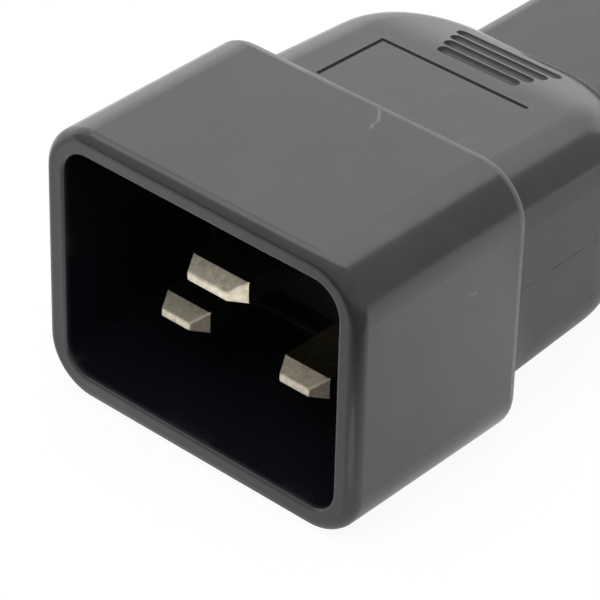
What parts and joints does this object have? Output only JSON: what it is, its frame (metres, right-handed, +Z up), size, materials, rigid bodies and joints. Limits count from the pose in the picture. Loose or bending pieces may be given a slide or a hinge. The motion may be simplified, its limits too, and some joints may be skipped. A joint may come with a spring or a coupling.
{
  "type": "power plug adapter",
  "caption": "Moulded power plug adapter with a deep shrouded flat-pin plug, a grip with finger grooves, a slim neck and a slotted outlet on a stepped nose.",
  "frame": {"origin": "middle of the adapter's length and width, level with the underside of the plug's shroud", "axes": "+Y along the adapter from the plug to the outlet, +Z up towards the earth pin, +X to the right seen from the plug"},
  "size_m": [0.0338, 0.0936, 0.0259],
  "materials": {
    "soft_moulding": "dark grey moulded skin with a satin sheen",
    "hard_black": "matt black",
    "plated_pin": "bright nickel plating",
    "contact_sheet": "bare sheet",
    "bare_core": "bare copper",
    "earth_sleeve": "green and yellow sleeve, one plain colour here",
    "line_sleeve": "brown sleeve",
    "neutral_sleeve": "blue sleeve"
  },
  "bodies": {
    "root": {"overmould": "soft_moulding", "pin_bridge": "hard_black", "contact_carrier": "hard_black", "contact_retainer": "hard_black", "earth_pin": "plated_pin", "line_pin": "plated_pin", "neutral_pin": "plated_pin", "earth_contact": "contact_sheet", "line_contact": "contact_sheet", "neutral_contact": "contact_sheet", "earth_conductor": "bare_core", "line_conductor": "bare_core", "neutral_conductor": "bare_core", "earth_insulation": "earth_sleeve", "line_insulation": "line_sleeve", "neutral_insulation": "neutral_sleeve"}
  },
  "joints": []
}
